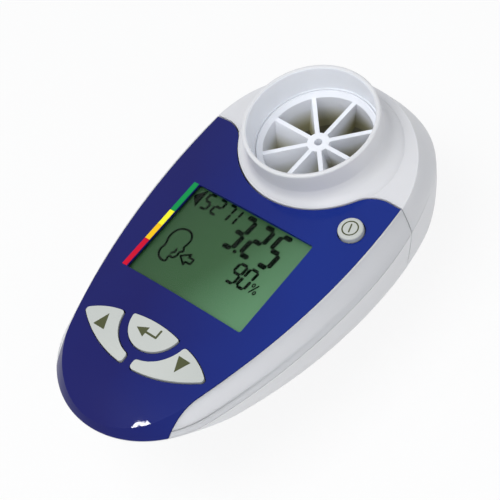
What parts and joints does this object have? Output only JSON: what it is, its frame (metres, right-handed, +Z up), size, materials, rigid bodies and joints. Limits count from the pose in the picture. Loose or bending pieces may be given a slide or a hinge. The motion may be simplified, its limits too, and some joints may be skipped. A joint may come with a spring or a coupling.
{
  "type": "lung function monitor",
  "caption": "Hand-held lung function monitor: egg-shaped body with display, crescent keys and power button, and a lift-off breathing head with a round collar over vanes and a turning rotor.",
  "frame": {"origin": "under the middle of the bounding box, on the surface the monitor lies on", "axes": "+Z up out of the display and the mouthpiece collar, +Y along the body towards the breathing head, +X towards the power button"},
  "size_m": [0.063, 0.1128, 0.048],
  "materials": {
    "casing": "satin off-white moulding",
    "panel": "glossy navy blue moulding",
    "zone_inlay": "satin inlays in four colours",
    "window": "clear hard-coated pane",
    "lcd": "reflective green-grey display",
    "inner_frame": "matte black",
    "elastomer": "matte layered rubber",
    "key": "satin light grey",
    "board": "green solder mask",
    "cell_jacket": "printed film jacket",
    "contact_metal": "bright nickel plate",
    "screw_metal": "plain steel",
    "lens": "dark infra-red lens",
    "stator": "satin warm grey moulding",
    "flow_tube": "smoke moulding, clear to infra-red",
    "bearing": "polished bush",
    "rotor": "thin white vane"
  },
  "bodies": {
    "body": {"front_shell": "casing", "back_shell": "casing", "control_panel": "panel", "zone_strip": "zone_inlay", "window_pane": "window", "lcd_cell": "lcd", "lcd_frame": "inner_frame", "lcd_connectors": "elastomer", "switch_bodies": "inner_frame", "circuit_board": "board", "board_chips": "inner_frame", "buzzer": "inner_frame", "battery_cell_left": "cell_jacket", "battery_cell_right": "cell_jacket", "battery_contacts": "contact_metal", "battery_springs": "contact_metal", "case_screws": "screw_metal", "ir_emitter": "lens", "ir_detector": "lens"},
    "up": {"up_key": "key", "up_plunger": "inner_frame"},
    "enter": {"enter_key": "key", "enter_plunger": "inner_frame"},
    "down": {"down_key": "key", "down_plunger": "inner_frame"},
    "power": {"power_button": "key", "power_plunger": "inner_frame"},
    "door": {"battery_door": "casing"},
    "head": {"head_front": "casing", "head_back": "casing", "head_screws": "screw_metal", "front_stator": "stator", "rear_stator": "stator", "flow_tube": "flow_tube", "front_bearing": "bearing", "rear_bearing": "bearing"},
    "rotor": {"rotor_vane": "rotor", "rotor_spindle": "screw_metal"}
  },
  "joints": [
    {"name": "up_key_press", "type": "slide", "parent": "body", "child": "up", "axis": [0, 0, -1], "range_m": [0, 0.0006], "stiffness_N_per_m": 2500},
    {"name": "enter_key_press", "type": "slide", "parent": "body", "child": "enter", "axis": [0, 0, -1], "range_m": [0, 0.0006], "stiffness_N_per_m": 2500},
    {"name": "down_key_press", "type": "slide", "parent": "body", "child": "down", "axis": [0, 0, -1], "range_m": [0, 0.0006], "stiffness_N_per_m": 2500},
    {"name": "power_button_press", "type": "slide", "parent": "body", "child": "power", "axis": [0, 0, -1], "range_m": [0, 0.0006], "stiffness_N_per_m": 2500},
    {"name": "battery_door_lift_off", "type": "slide", "parent": "body", "child": "door", "axis": [0, 0, -1], "range_m": [0, 0.012]},
    {"name": "head_pull_off", "type": "slide", "parent": "body", "child": "head", "axis": [0, 1, 0], "range_m": [0, 0.04]},
    {"name": "rotor_spin", "type": "hinge", "parent": "head", "child": "rotor", "pos_m": [0, 0.0307, 0.022], "axis": [0, 0, 1], "continuous": true}
  ]
}
